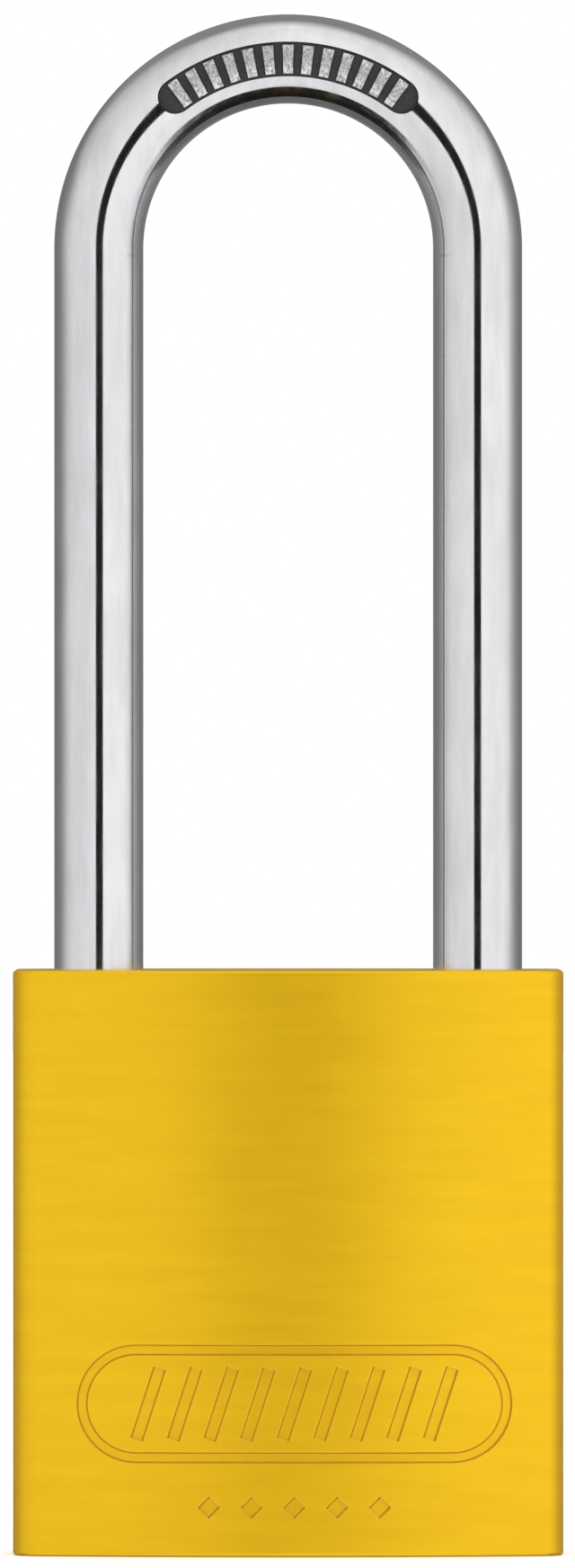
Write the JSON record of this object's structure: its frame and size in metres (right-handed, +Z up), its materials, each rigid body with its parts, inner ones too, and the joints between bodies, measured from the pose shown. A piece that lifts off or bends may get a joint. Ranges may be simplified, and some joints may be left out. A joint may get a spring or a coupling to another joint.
{
  "type": "safety padlock",
  "caption": "Safety padlock with a yellow anodised aluminium body, a long chrome-plated steel shackle, a ball lock and a pin tumbler cylinder.",
  "frame": {"origin": "centre of the body's underside", "axes": "+Z up along the shackle's legs, +X to the right seen from the front, -Y out of the engraved front face"},
  "size_m": [0.04, 0.019, 0.112],
  "materials": {
    "anodised_aluminium": "yellow anodised aluminium, satin",
    "chrome_plated_steel": "bright chrome plate over hardened steel",
    "spring_steel": "drawn spring wire",
    "hardened_steel": "polished bearing steel",
    "sintered_steel": "matt sintered steel",
    "brass": "machined brass",
    "nickel_plated_brass": "brushed brass",
    "pin_brass": "turned brass",
    "nickel_silver": "turned nickel silver",
    "black_steel": "black oxide steel"
  },
  "bodies": {
    "case": {"body": "anodised_aluminium", "cross_bore_plug": "anodised_aluminium", "cylinder_housing": "brass", "chamber_cover": "brass", "retaining_screw": "black_steel", "shackle_spring": "spring_steel", "pin_spring_1": "spring_steel", "pin_spring_2": "spring_steel", "pin_spring_3": "spring_steel", "pin_spring_4": "spring_steel", "pin_spring_5": "spring_steel", "pin_spring_6": "spring_steel"},
    "shackle": {"shackle": "chrome_plated_steel"},
    "toe_ball": {"toe_ball": "hardened_steel"},
    "heel_ball": {"heel_ball": "hardened_steel"},
    "plug": {"plug": "nickel_plated_brass", "plug_clip": "spring_steel", "locking_cam": "sintered_steel"},
    "key_pin_1": {"key_pin_1": "pin_brass"},
    "driver_pin_1": {"driver_pin_1": "nickel_silver"},
    "key_pin_2": {"key_pin_2": "pin_brass"},
    "driver_pin_2": {"driver_pin_2": "nickel_silver"},
    "key_pin_3": {"key_pin_3": "pin_brass"},
    "driver_pin_3": {"driver_pin_3": "nickel_silver"},
    "key_pin_4": {"key_pin_4": "pin_brass"},
    "driver_pin_4": {"driver_pin_4": "nickel_silver"},
    "key_pin_5": {"key_pin_5": "pin_brass"},
    "driver_pin_5": {"driver_pin_5": "nickel_silver"},
    "key_pin_6": {"key_pin_6": "pin_brass"},
    "driver_pin_6": {"driver_pin_6": "nickel_silver"}
  },
  "joints": [
    {"name": "shackle_lift", "type": "slide", "parent": "case", "child": "shackle", "axis": [0, 0, 1], "range_m": [0, 0.0138], "deforming": ["shackle_spring"]},
    {"name": "plug_turn", "type": "hinge", "parent": "case", "child": "plug", "pos_m": [0, 0, 0.0006], "axis": [0, 0, 1], "range_deg": [-90, 0]},
    {"name": "toe_ball_slide", "type": "slide", "parent": "case", "child": "toe_ball", "axis": [1, 0, 0], "range_m": [0, 0.0018]},
    {"name": "heel_ball_slide", "type": "slide", "parent": "case", "child": "heel_ball", "axis": [-1, 0, 0], "range_m": [0, 0.001]},
    {"name": "key_pin_1_slide", "type": "slide", "parent": "plug", "child": "key_pin_1", "axis": [0, 1, 0], "range_m": [0, 0.00203]},
    {"name": "key_pin_2_slide", "type": "slide", "parent": "plug", "child": "key_pin_2", "axis": [0, 1, 0], "range_m": [0, 0.00083]},
    {"name": "key_pin_3_slide", "type": "slide", "parent": "plug", "child": "key_pin_3", "axis": [0, 1, 0], "range_m": [0, 0.00163]},
    {"name": "key_pin_4_slide", "type": "slide", "parent": "plug", "child": "key_pin_4", "axis": [0, 1, 0], "range_m": [0, 0.00043]},
    {"name": "key_pin_5_slide", "type": "slide", "parent": "plug", "child": "key_pin_5", "axis": [0, 1, 0], "range_m": [0, 0.00123]},
    {"name": "key_pin_6_slide", "type": "slide", "parent": "plug", "child": "key_pin_6", "axis": [0, 1, 0], "range_m": [0, 0.00223]},
    {"name": "driver_pin_1_slide", "type": "slide", "parent": "case", "child": "driver_pin_1", "axis": [1, 0, 0], "range_m": [0, 0.0022], "stiffness_N_per_m": 150, "deforming": ["pin_spring_1"]},
    {"name": "driver_pin_2_slide", "type": "slide", "parent": "case", "child": "driver_pin_2", "axis": [1, 0, 0], "range_m": [0, 0.0022], "stiffness_N_per_m": 150, "deforming": ["pin_spring_2"]},
    {"name": "driver_pin_3_slide", "type": "slide", "parent": "case", "child": "driver_pin_3", "axis": [1, 0, 0], "range_m": [0, 0.0022], "stiffness_N_per_m": 150, "deforming": ["pin_spring_3"]},
    {"name": "driver_pin_4_slide", "type": "slide", "parent": "case", "child": "driver_pin_4", "axis": [1, 0, 0], "range_m": [0, 0.0022], "stiffness_N_per_m": 150, "deforming": ["pin_spring_4"]},
    {"name": "driver_pin_5_slide", "type": "slide", "parent": "case", "child": "driver_pin_5", "axis": [1, 0, 0], "range_m": [0, 0.0022], "stiffness_N_per_m": 150, "deforming": ["pin_spring_5"]},
    {"name": "driver_pin_6_slide", "type": "slide", "parent": "case", "child": "driver_pin_6", "axis": [1, 0, 0], "range_m": [0, 0.0022], "stiffness_N_per_m": 150, "deforming": ["pin_spring_6"]}
  ],
  "couplings": [
    {"joint": "toe_ball_slide", "follows": "plug_turn", "m_per_rad": -0.0011459},
    {"joint": "heel_ball_slide", "follows": "plug_turn", "m_per_rad": -0.00063662}
  ]
}
